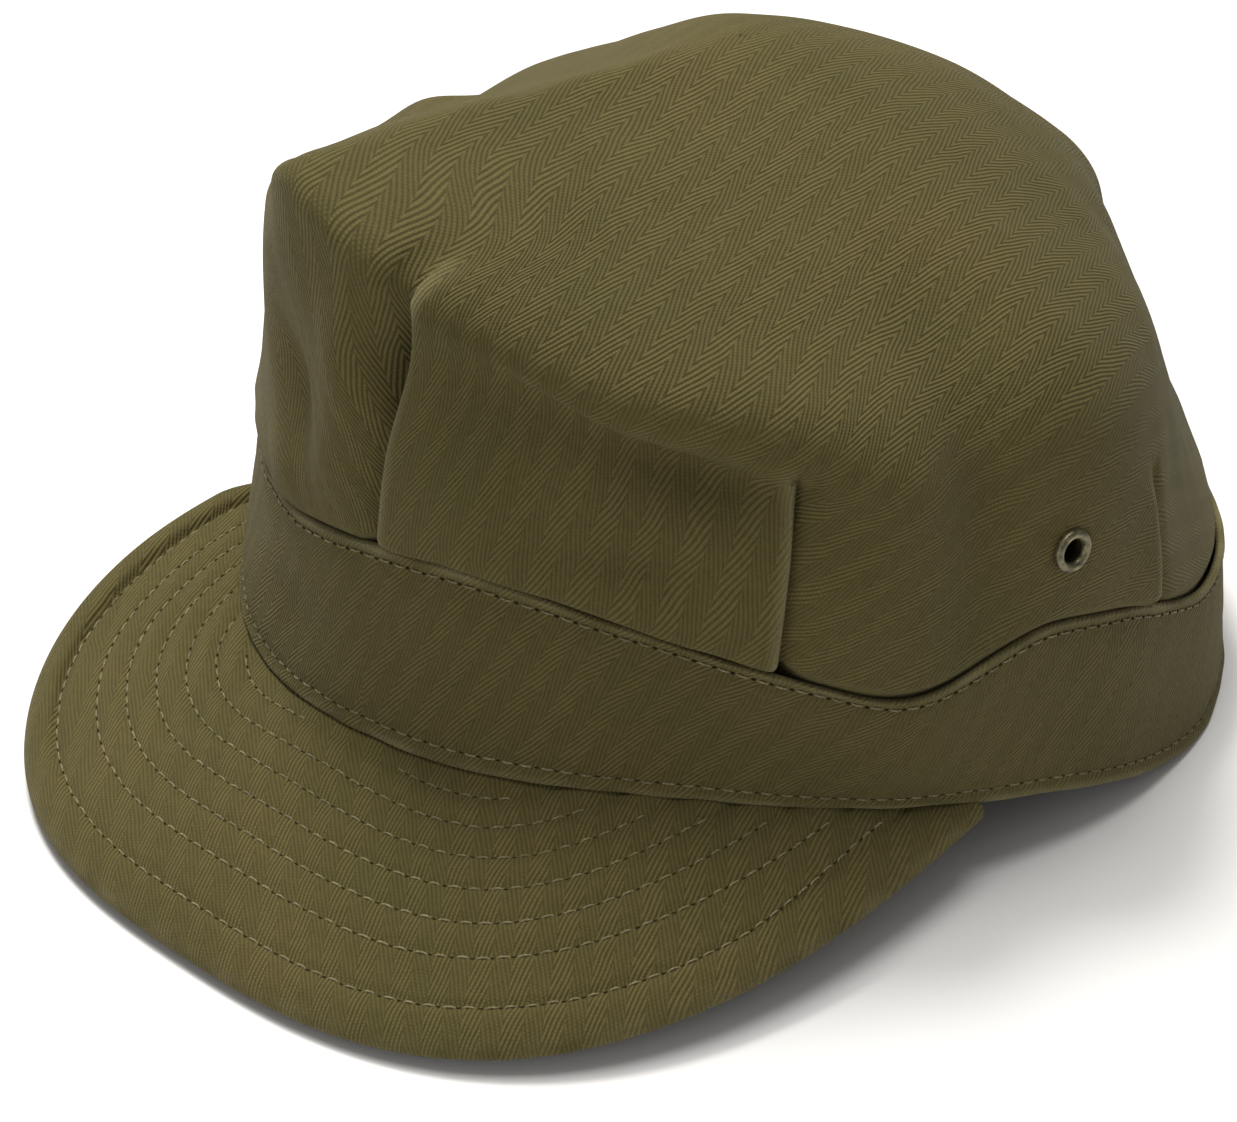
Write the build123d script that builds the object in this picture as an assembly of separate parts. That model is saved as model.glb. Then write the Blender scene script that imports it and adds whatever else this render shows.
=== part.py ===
from build123d import *
import math
import os

# Visored field cap in herringbone twill: a pleated one-piece crown on a wide headband,
# with a short quilted visor. Millimetres. +Z is up, the visor points along -Y and the
# wearer's left is +X. The cap stands on z = 0 on its visor rim and the back of its band.

# ---- driving dimensions ----
CENTRE_Y = 19.5            # middle of the headband, so that the cap's box is centred on y = 0
BAND_HALF_LENGTH = 97.5    # front to back, at the table
BAND_HALF_WIDTH = 90.0     # side to side, at the table
BAND_EGG = 0.11            # how much wider the oval is at the back than at the front
BAND_LEAN = 0.14           # inward lean of the band, per mm of height
BAND_HEIGHT = 32.0
FRONT_LIFT = 28.0          # height of the band's lower edge over the table at the front
LIFT_START = 36.0          # the lower edge leaves the table this far behind the middle
LIFT_BLEND = 22.0          # length over which the edge curves up

CLOTH = 0.8                # herringbone twill
CANVAS = 0.7               # interlining and inner plies
GAP = 0.1                  # clearance between plies
PLY_STEPS = (CLOTH, CANVAS, CANVAS, CANVAS, CLOTH)   # band, crown edge, canvas, lining, sweatband

CROWN_TOP = 120.0          # height of the crown's ridge
CROWN_BREAK = 10.0         # the ridge turns down to the back this far behind the middle
CROWN_FALL = 0.80          # slope of the ridge towards the back
CROWN_HALF_LENGTH = 94.0
CROWN_HALF_WIDTH = 86.0
CROWN_SHIFT = 3.0          # the crown sits this far behind the middle of the band
CROWN_ARCH_WIDTH = 94.0    # half-width of the arch that shapes the top
CROWN_ARCH_BASE = 40.0
CROWN_TUCK = 8.0           # depth of the crown's edge inside the band

VISOR_TIP = 136.5          # tip of the visor, from the middle of the band
VISOR_HALF_WIDTH = 83.5
VISOR_CORNER = 28.0        # the visor's corners lie this far ahead of the middle
VISOR_CURVE = 0.74         # exponent of the rim's superellipse
VISOR_RIM_HEIGHT = 3.3
VISOR_CAMBER = 2.4
VISOR_HEM = 10.0           # width of the folded seam allowance along the rim
STIFFENER = 1.5
QUILT_ROWS = 6
QUILT_OUTER = 13.7         # outermost quilting row, measured in from the rim
QUILT_STEP = 5.3           # spacing of the quilting rows
EDGE_ROW = 6.6             # stitch row beside the rim, measured in from it
ROW_CLEARANCE = 1.2        # the rows stop this far short of the band
THREAD = 0.35

EYELET_HEIGHT = 56.5
EYELET_AHEAD = 7.0         # ahead of the middle of the band
EYELET_FLANGE = 4.25
EYELET_HOLE = 2.6
EYELET_WALL = 0.35
EYELET_FLANGE_DEPTH = 0.6

OVAL_POINTS = 16
VISOR_ROWS = 25
FAR = 160.0


def export(shape, name):
    shape.label = name
    export_step(shape, f"parts/{name}.step")


# ---- headband oval ----
def oval(half_length, half_width, z, shift=0.0):
    """Closed egg-shaped wire at height z, wider at the back."""
    points = []
    for i in range(OVAL_POINTS):
        t = 2 * math.pi * i / OVAL_POINTS - math.pi / 2
        x = half_width * math.cos(t) * (1 + BAND_EGG * math.sin(t))
        points.append(Vector(x, CENTRE_Y + shift + half_length * math.sin(t), z))
    return Wire([Edge.make_spline(points, periodic=True)])


def oval_solid(half_length, half_width, high=FAR, lean=0.0, shift=0.0):
    low = -10.0
    rings = [oval(half_length - lean * z, half_width - lean * z, z, shift) for z in (low, high)]
    return Solid.make_loft(rings, ruled=True)


def band_solid(inset):
    return oval_solid(BAND_HALF_LENGTH - inset, BAND_HALF_WIDTH - inset, high=90.0, lean=BAND_LEAN)


# ---- side profile: the height of the band's lower edge ----
def lift(y):
    """Height of the band's lower edge at y: flat at the back, rising towards the front."""
    run = LIFT_START + BAND_HALF_LENGTH
    ahead = CENTRE_Y + LIFT_START - y
    if ahead <= 0:
        return 0.0
    slope = FRONT_LIFT / (run - LIFT_BLEND / 2)
    if ahead < LIFT_BLEND:
        return slope * ahead * ahead / (2 * LIFT_BLEND)
    return slope * (ahead - LIFT_BLEND / 2)


def strip(low, high):
    """Slab across the whole width between two heights over the band's lower edge."""
    ends = (-FAR, CENTRE_Y + LIFT_START - LIFT_BLEND, CENTRE_Y + LIFT_START, FAR)

    def edge(rise):
        middle = CENTRE_Y + LIFT_START - LIFT_BLEND / 2
        front, start, stop, back = [(0, y, lift(y) + rise) for y in ends]
        blend = Edge.make_bezier(Vector(*start), Vector(0, middle, rise), Vector(*stop))
        return [Edge.make_line(front, start), blend, Edge.make_line(stop, back)]

    lower = edge(low)
    upper = edge(high)
    sides = [Edge.make_line(lower[0] @ 0, upper[0] @ 0), Edge.make_line(lower[-1] @ 1, upper[-1] @ 1)]
    face = Face(Wire(lower + upper + sides))
    return Solid.extrude(face, Vector(2 * FAR, 0, 0)).translate(Vector(-FAR, 0, 0))


def band_ply(outset_from, outset_to, low, high):
    """Ring between two insets from the band's face and two heights over its lower edge."""
    return (band_solid(outset_from) - band_solid(outset_to)) & strip(low, high)


def ply_inset(index):
    """Inset of a ply's outer face, counted inward from the band's face."""
    return sum(PLY_STEPS[:index]) + index * GAP


# ---- crown ----
def ridge(y):
    """Height of the crown's ridge at y."""
    behind = y - CENTRE_Y - CROWN_BREAK
    soft = 8.0
    fall = (behind + math.sqrt(behind * behind + soft * soft)) / 2
    return CROWN_TOP - CROWN_FALL * fall


def arch(y, shrink):
    """Closed section across the crown: a peaked arch on a straight base."""
    top = ridge(y) - CROWN_ARCH_BASE - shrink
    half = CROWN_ARCH_WIDTH - shrink
    points = []
    for i in range(13):
        x = half * math.cos(math.pi * i / 12)
        z = top * math.sqrt(max(0.0, 1 - (abs(x) / half) ** 1.15))
        points.append(Vector(x, y, CROWN_ARCH_BASE + z))
    low = [Vector(-half, y, -10), Vector(half, y, -10)]
    sides = [Edge.make_line(points[-1], low[0]), Edge.make_line(low[0], low[1])]
    sides.append(Edge.make_line(low[1], points[0]))
    return Wire([Edge.make_spline(points)] + sides)


def crown_bag(shrink):
    """Everything under the crown's outer face, or under its inner face."""
    stations = [CENTRE_Y + d for d in (-105, CROWN_BREAK - 12, CROWN_BREAK, CROWN_BREAK + 12, 105)]
    arches = Solid.make_loft([arch(y, shrink) for y in stations], ruled=True)
    wall = oval_solid(CROWN_HALF_LENGTH - shrink, CROWN_HALF_WIDTH - shrink, shift=CROWN_SHIFT)
    return arches & wall


def eyelet_plane(side):
    """Plane on the crown's wall at an eyelet, facing outward."""
    t = math.asin(-(EYELET_AHEAD + CROWN_SHIFT) / CROWN_HALF_LENGTH)
    egg = 1 + BAND_EGG * math.sin(t)
    x = CROWN_HALF_WIDTH * math.cos(t) * egg
    along_x = CROWN_HALF_WIDTH * (BAND_EGG * math.cos(t) ** 2 - math.sin(t) * egg)
    along_y = CROWN_HALF_LENGTH * math.cos(t)
    outward = Vector(side * along_y, -along_x, 0).normalized()
    centre = Vector(side * x, CENTRE_Y - EYELET_AHEAD, EYELET_HEIGHT)
    return Plane(origin=centre, z_dir=outward)


def disc(plane, radius, low, high):
    """Round plug on a plane, from low to high along the plane's normal."""
    return plane * (Pos(0, 0, (low + high) / 2) * Cylinder(radius, high - low))


def make_crown():
    foot = BAND_HEIGHT + GAP
    shell = (crown_bag(0) - crown_bag(CLOTH)) & strip(foot, FAR)
    rolled_edge = (crown_bag(0) - band_solid(ply_inset(1) + CANVAS)) & strip(foot, foot + CLOTH)
    tucked_edge = band_ply(ply_inset(1), ply_inset(1) + CANVAS, BAND_HEIGHT - CROWN_TUCK, foot + CLOTH)
    crown = shell + rolled_edge + tucked_edge
    for side in (1, -1):
        crown -= disc(eyelet_plane(side), EYELET_HOLE + EYELET_WALL + GAP, -6, 4)
    return crown


# ---- eyelets ----
def make_eyelet(side):
    """Flanged barrel through the crown's wall."""
    plane = eyelet_plane(side)
    barrel = disc(plane, EYELET_HOLE + EYELET_WALL, -2.4, GAP + EYELET_FLANGE_DEPTH)
    flange = disc(plane, EYELET_FLANGE, GAP, GAP + EYELET_FLANGE_DEPTH)
    return barrel + flange - disc(plane, EYELET_HOLE, -6, 4)


def make_washer(side):
    """Plain washer clenched on the barrel inside the crown."""
    plane = eyelet_plane(side)
    ring = disc(plane, EYELET_FLANGE, -CLOTH - 0.9, -CLOTH - 0.4)
    return ring - disc(plane, EYELET_HOLE + EYELET_WALL + 0.05, -6, 4)


# ---- visor ----
def hinge_point(u, inset):
    """Point under the band's lower edge; u runs from -1 at one corner to 1 at the other."""
    corner = math.acos(VISOR_CORNER / (BAND_HALF_LENGTH - inset))
    t = u * corner
    half_width = BAND_HALF_WIDTH - inset
    x = half_width * math.sin(t) * (1 - BAND_EGG * math.cos(t))
    y = CENTRE_Y - (BAND_HALF_LENGTH - inset) * math.cos(t)
    return Vector(x, y, lift(y) - 2 * GAP)


def rim_point(u):
    """Point on the visor's rim: half a superellipse from corner to corner."""
    t = u * math.pi / 2
    across = math.copysign(abs(math.sin(t)) ** VISOR_CURVE, t)
    out = math.cos(t) ** VISOR_CURVE if abs(u) < 1 else 0.0
    y = CENTRE_Y - VISOR_CORNER - (VISOR_TIP - VISOR_CORNER) * out
    corner_height = lift(CENTRE_Y - VISOR_CORNER) - 2 * GAP
    return Vector(VISOR_HALF_WIDTH * across, y, VISOR_RIM_HEIGHT * out + corner_height * (1 - out))


def visor_point(u, w, inset=4.5):
    """Point on the visor's upper face: w is 0 under the band and 1 at the rim."""
    near = hinge_point(u, inset)
    far = rim_point(u)
    camber = VISOR_CAMBER * 4 * w * (1 - w) * math.cos(u * math.pi / 2)
    return near + (far - near) * w + Vector(0, 0, camber)


def visor_face():
    """The visor's upper face as one smooth sheet."""
    grid = []
    for i in range(VISOR_ROWS):
        s = 2 * i / (VISOR_ROWS - 1) - 1
        u = (s + math.sin(s * math.pi / 2)) / 2
        grid.append([visor_point(u, j / 6) for j in range(7)])
    return Face.make_surface_from_array_of_points(grid, tol=0.002, min_deg=3, max_deg=3)


def visor_ply(face, depth, thickness):
    """Sheet of even thickness, this deep under the visor's upper face."""
    return Solid.extrude(face.translate(Vector(0, 0, -depth)), Vector(0, 0, -thickness))


def visor_zone(w_from, w_to, reach):
    """Upright block over the part of the visor between two fractions of its depth."""
    def line(w):
        points = [visor_point(reach * (i / 8 - 1), w) for i in range(17)]
        return Edge.make_spline([Vector(p.X, p.Y, -20) for p in points])

    near = line(w_from)
    far = line(w_to)
    ends = [Edge.make_line(near @ 0, far @ 0), Edge.make_line(near @ 1, far @ 1)]
    return Solid.extrude(Face(Wire([near, far] + ends)), Vector(0, 0, 90))


def make_visor(face):
    """Name and solid of each ply of the visor, from the top down."""
    hem = 1 - VISOR_HEM / (VISOR_TIP - BAND_HALF_LENGTH)
    core = visor_ply(face, CLOTH + GAP, STIFFENER)
    yield "visor_top_cloth", visor_ply(face, 0, CLOTH)
    yield "visor_stiffener", core & visor_zone(0.02, hem - 0.01, 0.96)
    yield "visor_seam_allowance", core & visor_zone(hem, 0.99, 0.96)
    yield "visor_bottom_cloth", visor_ply(face, CLOTH + STIFFENER + 2 * GAP, CLOTH)


def row_point(u, inset):
    """Plan point this far inside the visor's rim."""
    here = rim_point(u)
    along = rim_point(u + 0.002) - rim_point(u - 0.002)
    inward = Vector(-along.Y, along.X, 0).normalized()
    return Vector(here.X, here.Y, -20) + inward * inset


def clear_of_band(point):
    """True where a plan point lies outside the band, with room for a stitch row to end."""
    outset = ROW_CLEARANCE - BAND_LEAN * lift(point.Y)
    turn = (point.Y - CENTRE_Y) / (BAND_HALF_LENGTH + outset)
    half_width = (BAND_HALF_WIDTH + outset) * (1 + BAND_EGG * turn)
    return abs(turn) > 1 or abs(point.X) > half_width * math.sqrt(1 - turn * turn)


def row_block(inset):
    """Upright block under and over one stitch row."""
    reach = 0.97
    while not clear_of_band(row_point(reach, inset)):
        reach -= 0.01
    places = [reach * math.sin(math.pi * i / 32) for i in range(-16, 17)]
    outer = Edge.make_spline([row_point(u, inset) for u in places])
    inner = Edge.make_spline([row_point(u, inset + THREAD) for u in places])
    ends = [Edge.make_line(inner @ 0, outer @ 0), Edge.make_line(inner @ 1, outer @ 1)]
    return Solid.extrude(Face(Wire([inner, outer] + ends)), Vector(0, 0, 90))


def make_quilting(face):
    """Stitch rows that follow the rim, from the band outward, and the row beside the rim."""
    skin = visor_ply(face, -THREAD - GAP / 2, THREAD)
    for row in range(QUILT_ROWS):
        inset = QUILT_OUTER + QUILT_STEP * (QUILT_ROWS - 1 - row)
        yield f"visor_quilting_row_{row + 1}", skin & row_block(inset)
    yield "visor_edge_stitching", skin & row_block(EDGE_ROW)


# ---- label ----
def make_label():
    """Blank woven label on the sweatband at the back."""
    inner = ply_inset(5)
    patch = Pos(0, CENTRE_Y + BAND_HALF_LENGTH, 16) * Box(38, 40, 18)
    return band_ply(inner, inner + 0.4, 0, BAND_HEIGHT) & patch


# ---- the whole cap ----
def make_band():
    """Name and solid of each ply of the headband, from the outside in."""
    canvas, lining, sweatband = ply_inset(2), ply_inset(3), ply_inset(4)
    yield "headband_outer", band_ply(0, CLOTH, 0, BAND_HEIGHT)
    yield "headband_interlining", band_ply(canvas, canvas + CANVAS, 1.0, BAND_HEIGHT - 0.5)
    yield "headband_lining", band_ply(lining, lining + CANVAS, 0.5, BAND_HEIGHT - 0.5)
    yield "sweatband", band_ply(sweatband, sweatband + CLOTH, 0.5, BAND_HEIGHT - 2.0)
    yield "headband_top_stitching", band_ply(-THREAD - 0.05, -0.05, BAND_HEIGHT - 3.2, BAND_HEIGHT - 2.8)
    yield "headband_bottom_stitching", band_ply(-THREAD - 0.05, -0.05, 2.6, 3.0)


def make_cap():
    yield "crown", make_crown()
    yield from make_band()
    face = visor_face()
    yield from make_visor(face)
    yield from make_quilting(face)
    for side, name in ((1, "left"), (-1, "right")):
        yield f"eyelet_{name}", make_eyelet(side)
        yield f"eyelet_washer_{name}", make_washer(side)
    yield "size_label", make_label()


os.makedirs("parts", exist_ok=True)
for node, solid in make_cap():
    export(solid, node)
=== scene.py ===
"""Visored field cap in herringbone twill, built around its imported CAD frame."""

import math

import bpy
import numpy as np
from mathutils import Matrix, Vector


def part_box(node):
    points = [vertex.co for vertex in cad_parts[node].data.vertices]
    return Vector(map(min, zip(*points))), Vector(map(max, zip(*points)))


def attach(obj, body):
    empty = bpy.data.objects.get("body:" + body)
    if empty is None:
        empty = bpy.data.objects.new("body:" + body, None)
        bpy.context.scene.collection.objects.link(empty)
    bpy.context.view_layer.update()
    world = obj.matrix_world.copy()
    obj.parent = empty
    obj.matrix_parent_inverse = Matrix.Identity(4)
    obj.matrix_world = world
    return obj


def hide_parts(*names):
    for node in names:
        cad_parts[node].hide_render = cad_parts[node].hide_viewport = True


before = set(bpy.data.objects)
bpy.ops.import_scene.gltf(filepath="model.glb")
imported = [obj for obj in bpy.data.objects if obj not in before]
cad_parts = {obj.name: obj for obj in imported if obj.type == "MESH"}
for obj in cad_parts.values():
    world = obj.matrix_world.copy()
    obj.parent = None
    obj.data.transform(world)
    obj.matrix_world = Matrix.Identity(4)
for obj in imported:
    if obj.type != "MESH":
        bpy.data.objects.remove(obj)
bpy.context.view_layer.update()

# Millimetres are used for the shapes, around the middle of the headband: the visor points
# along -y and the wearer's left is +x. place() turns them into the frame's metres.
MM = 0.001

# ---- driving dimensions, the part's except for the height of the ridge ----
BAND_HALF_LENGTH = 97.5
BAND_HALF_WIDTH = 90.0
BAND_EGG = 0.11
BAND_LEAN = 0.14
BAND_HEIGHT = 32.0
FRONT_LIFT = 28.0
LIFT_START = 36.0
LIFT_BLEND = 22.0
CROWN_TOP = 120.5     # ridge of the worn crown, half a millimetre over the part's
VISOR_TIP = 136.5
VISOR_HALF_WIDTH = 83.5
VISOR_CORNER = 28.0
VISOR_CURVE = 0.74
VISOR_RIM_HEIGHT = 3.3
VISOR_CAMBER = 2.4
EYELET_HEIGHT = 56.5
EYELET_AHEAD = 7.0

CENTRE_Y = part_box("headband_outer")[1].y / MM - BAND_HALF_LENGTH
CENTRE = np.array([0.0, CENTRE_Y, 0.0])

STITCH = 3.3          # length of one stitch
THREAD = 0.38         # diameter of the sewing thread
NEEDLE_DIP = 0.42     # how deep a stitch's ends go into the cloth

EASE_REACH = 12       # degrees to each side over which periodic() evens out its keys
EASE_WIDTH = 3.5


# ---- numbers ----
def smooth(x):
    """0 below 0, 1 above 1, and an even turn between."""
    x = np.clip(x, 0.0, 1.0)
    return x * x * (3 - 2 * x)


def bell(x, width):
    """1 at zero, fading to nothing over about twice the width."""
    return np.exp(-((x / width) ** 2))


def unit(v):
    return v / np.maximum(np.linalg.norm(v, axis=-1, keepdims=True), 1e-9)


def ripple(points, wavelength, seed, waves=7):
    """Smooth seeded unevenness, about -1 to 1, over points in mm."""
    rng = np.random.default_rng(seed)
    total = np.zeros(points.shape[:-1])
    for _ in range(waves):
        way = unit(rng.normal(size=3)) * rng.uniform(0.7, 1.4) * 2 * math.pi / wavelength
        total += np.sin(points @ way + rng.uniform(0, 2 * math.pi))
    return total / math.sqrt(waves) / 1.4


def periodic(angle, keys):
    """Value at an angle in degrees, eased between (angle, value) keys right round the circle."""
    keys = sorted(keys)
    spots = np.array([k[0] for k in keys], float)
    values = np.array([k[1] for k in keys], float)
    spots = np.concatenate([spots - 360, spots, spots + 360])
    values = np.concatenate([values, values, values])
    fine = np.arange(-200, 200, 1.0)
    curve = np.interp(fine, spots, values)
    kernel = bell(np.arange(-EASE_REACH, EASE_REACH + 1.0), EASE_WIDTH)
    padded = np.pad(curve, EASE_REACH, mode="edge")
    curve = np.convolve(padded, kernel / kernel.sum(), mode="valid")
    return np.interp(angle, fine, curve)


def lengths(points):
    """Running length along the second-last axis of an array of points."""
    steps = np.linalg.norm(np.diff(points, axis=-2), axis=-1)
    start = np.zeros(steps.shape[:-1] + (1,))
    return np.concatenate([start, np.cumsum(steps, axis=-1)], axis=-1)


# ---- meshes ----
def place(points):
    """Points in mm around the headband's middle, turned into metres in the frame."""
    return (np.asarray(points, float) + CENTRE) * MM


def make_object(name, vertices, faces):
    mesh = bpy.data.meshes.new(name)
    mesh.from_pydata(vertices.tolist(), [], faces.tolist() if hasattr(faces, "tolist") else faces)
    mesh.polygons.foreach_set("use_smooth", np.ones(len(mesh.polygons), bool))
    mesh.update()
    piece = bpy.data.objects.new(name, mesh)
    bpy.context.scene.collection.objects.link(piece)
    return piece


def grid_faces(rows, cols, closed):
    """Four-sided faces of a grid of points; closed joins the last column to the first."""
    i, j = np.meshgrid(np.arange(rows - 1), np.arange(cols - (0 if closed else 1)), indexing="ij")
    k = (j + 1) % cols
    return np.stack([i * cols + j, (i + 1) * cols + j, (i + 1) * cols + k, i * cols + k], -1).reshape(-1, 4)


def cloth_piece(name, points, cloth, closed=False, wear=None, thickness=0.8, keep=None):
    """Sheet through a grid of points, with its cloth coordinates in mm as a UV map."""
    rows, cols = points.shape[:2]
    faces = grid_faces(rows, cols, closed)
    corners = grid_faces(rows, cols + 1 if closed else cols, False)
    if keep is not None:
        faces = faces[keep]
        corners = corners[keep]
    piece = make_object(name, place(points.reshape(-1, 3)), faces)
    layer = piece.data.uv_layers.new(name="cloth")
    layer.data.foreach_set("uv", cloth.reshape(-1, 2)[corners.reshape(-1)].ravel().astype(np.float32))
    if wear is None:
        wear = np.zeros((rows, cols))
    worn = piece.data.attributes.new("wear", "FLOAT", "POINT")
    worn.data.foreach_set("value", wear.ravel().astype(np.float32))
    if thickness:
        solid = piece.modifiers.new("thickness", "SOLIDIFY")
        solid.thickness = thickness * MM
        solid.offset = -1
    return piece


def normals_of(points, closed):
    """Unit normals of a grid, from its neighbours."""
    down = np.gradient(points, axis=0)
    if closed:
        along = (np.roll(points, -1, 1) - np.roll(points, 1, 1)) / 2
    else:
        along = np.gradient(points, axis=1)
    return unit(np.cross(down, along))


# ---- headband ----
def oval(t, z):
    """Point on the headband's oval at height z; t = -pi/2 is the front."""
    a = BAND_HALF_LENGTH - BAND_LEAN * z
    b = BAND_HALF_WIDTH - BAND_LEAN * z
    return np.stack([b * np.cos(t) * (1 + BAND_EGG * np.sin(t)), a * np.sin(t), z + 0 * t], -1)


def lift(y):
    """Height of the headband's lower edge at y."""
    run = LIFT_START + BAND_HALF_LENGTH
    ahead = np.maximum(LIFT_START - y, 0.0)
    slope = FRONT_LIFT / (run - LIFT_BLEND / 2)
    curved = slope * ahead * ahead / (2 * LIFT_BLEND)
    return np.where(ahead < LIFT_BLEND, curved, slope * (ahead - LIFT_BLEND / 2))


def round_the_band(step):
    """Oval parameters at even steps along the headband, from the front round by the left."""
    t = np.linspace(-math.pi / 2, 1.5 * math.pi, 2001)
    run = lengths(oval(t, 30.0 + 0 * t))
    count = int(run[-1] / step)
    return np.interp(np.arange(count) * run[-1] / count, run, t), run[-1]


# How far the worn headband's two edges lie over (+) or under their cut lines, in mm, by
# degrees from the front towards the wearer's left.
EDGE_LOW = (
    (-60, 0), (-40, -2.5), (-20, -5.0), (-10, -3.5), (2, -2.7), (12, -2.0), (24, 0.5), (42, 3.0), (55, 3.3),
    (68, 3.7), (82, 3.5), (98, 1.2), (115, 0), (180, 0),
)
EDGE_HIGH = (
    (-60, 0), (-35, -3), (-18, -3.9), (0, 0), (14, 2.0), (25, 1.2), (36, -1.0), (45, -3.3), (54, -5.2),
    (61, -7.4), (66, -6.2), (72, -1.8), (81, 4.2), (95, 3.6), (103, 1), (111, -3), (125, -6), (150, -5),
    (180, -2),
)
# Where the headband buckles outward: degrees, reach in degrees, mm outward at the top edge
BUCKLE = (62, 13, 3.2)


def degrees_round(t):
    """Degrees from the front, towards the wearer's left, of an oval parameter."""
    return (np.degrees(t) + 90 + 180) % 360 - 180


def level_out(t):
    """Level direction away from the headband's middle."""
    return unit(np.stack([np.cos(t) / BAND_HALF_WIDTH, np.sin(t) / BAND_HALF_LENGTH, 0 * t], -1))


def band_outward(t):
    """Direction away from the headband's leaning face."""
    return unit(level_out(t) + np.array([0.0, 0.0, BAND_LEAN]))


def band_point(t, inset, rise):
    """Point of the headband: inset from its face, rise over its lower edge."""
    angle = degrees_round(t)
    share = np.clip(rise / BAND_HEIGHT, 0, 1.2)
    base = lift((BAND_HALF_LENGTH - 3) * np.sin(t))
    height = rise + periodic(angle, EDGE_LOW) * (1 - share) + periodic(angle, EDGE_HIGH) * share
    middle, reach, depth = BUCKLE
    out = depth * bell(angle - middle, reach) * np.sin(share * 1.7) - inset
    return oval(t, base + height) + level_out(t) * out[..., None]


BAND_FOLD = 0.6       # radius of the turn at the headband's folded edges
FACE_START = 12       # row of band_profile() at which the headband's face begins
FACE_ROWS = 30


def band_profile():
    """(inset, rise) round the headband's cloth: up its face, with both edges folded in."""
    fold = BAND_FOLD
    turn = np.linspace(0, math.pi, 9)
    low = [(fold * (1 + np.cos(a)), fold * (1 - np.sin(a))) for a in turn]
    high = [(fold * (1 - np.cos(a)), BAND_HEIGHT - fold * (1 - np.sin(a))) for a in turn]
    face = [(0.0, r) for r in np.linspace(fold, BAND_HEIGHT - fold, FACE_ROWS)[1:-1]]
    inner = 2 * fold
    start = [(inner, r) for r in (8.0, 6.0, 4.0, 2.0)]
    end = [(inner, BAND_HEIGHT - r) for r in (2.0, 4.0, 6.0, 8.0)]
    return np.array(start + low + face + high + end)


BAND_ROWS = (2.7, BAND_HEIGHT - 2.0)     # stitch rows over the headband's lower edge
PUCKER = 7.0          # length of one pucker beside a stitch row
PUCKER_RADIUS = 86.0  # turns the oval parameter into mm along a stitch row


def make_headband():
    """The headband's cloth, and the paths of its two stitch rows."""
    t, girth = round_the_band(1.25)
    profile = band_profile()
    rows = len(profile)
    tt = np.broadcast_to(t, (rows, len(t)))
    inset = np.broadcast_to(profile[:, :1], tt.shape)
    rise = np.broadcast_to(profile[:, 1:], tt.shape)
    points = band_point(tt, inset, rise)
    slack = 0.35 * ripple(points, 34, 11) + dents(points, BAND_DENTS)
    points = points + band_outward(t)[None] * slack[..., None]
    outward = normals_of(points[::-1], True)[::-1]
    facing = smooth((1.2 - inset) / 0.6)
    groove = sum(bell(rise - r, 0.7) for r in BAND_ROWS)
    puff = 0.30 * (bell(rise - 1.0, 0.9) + bell(rise - BAND_HEIGHT + 1.0, 0.9))
    out = puff - 0.38 * groove * facing
    out += facing * 0.12 * ripple(points, 9, 12)
    pull = np.abs(((tt * PUCKER_RADIUS) % PUCKER) / PUCKER - 0.5) * 2
    out -= 0.10 * pull * facing * (bell(rise - 4.5, 2.5) + bell(rise - BAND_HEIGHT + 4.5, 2.5))
    points = points + outward * out[..., None]
    points[..., 2] = np.maximum(points[..., 2], 0.05)
    cloth_along = (tt + math.pi / 2) / (2 * math.pi) * girth
    cloth = np.stack([cloth_along, np.broadcast_to(lengths(profile)[:, None], tt.shape)], -1)
    last = cloth[:, :1] + np.array([girth, 0.0])
    cloth = np.concatenate([cloth, last], axis=1)
    wear = bell(rise - 0.3, 0.8) + bell(rise - BAND_HEIGHT + 0.3, 0.8)
    wear = np.clip(wear, 0, 1) * (0.6 + 0.4 * ripple(points, 11, 13))
    piece = cloth_piece("headband_outer_cloth", points[::-1], cloth[::-1], True, wear[::-1], 0.5)
    face = slice(FACE_START, FACE_START + FACE_ROWS)
    lines = []
    for row in BAND_ROWS:
        near = np.argsort(np.abs(profile[face, 1] - row))[:2] + FACE_START
        weight = np.abs(profile[near[::-1], 1] - row) / np.abs(np.diff(profile[near, 1]))
        line = points[near[0]] * weight[0] + points[near[1]] * weight[1]
        lines.append((np.concatenate([line, line[:1]]), band_outward(np.append(t, t[0]))))
    return piece, lines


PLY_RADIUS = 91.0     # turns an inner ply's oval parameter into mm of its weave


def make_ply(name, inset, low, high, thickness, part=None):
    """Inner ply of the headband with a soft edge above and below; part limits it to some
    oval parameters."""
    if part is None:
        t, girth = round_the_band(2.4)
    else:
        t = np.linspace(*part, 40)
    rise = np.linspace(low, high, 20)
    ends = 0.45 * (bell(rise - low, 0.9) + bell(rise - high, 0.9))
    tt = np.broadcast_to(t, (len(rise), len(t)))
    points = band_point(tt, inset + ends[:, None] + 0 * tt, rise[:, None] + 0 * tt)
    points = points + band_outward(t)[None] * (0.18 * ripple(points, 21, 31))[..., None]
    along = (tt + math.pi / 2) * PLY_RADIUS
    cloth = np.stack([along, rise[:, None] + 0 * tt], -1)
    if part is None:
        cloth = np.concatenate([cloth, cloth[:, :1] + np.array([girth, 0.0])], axis=1)
    return cloth_piece(name, points[::-1], cloth[::-1], part is None, None, thickness)


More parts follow.
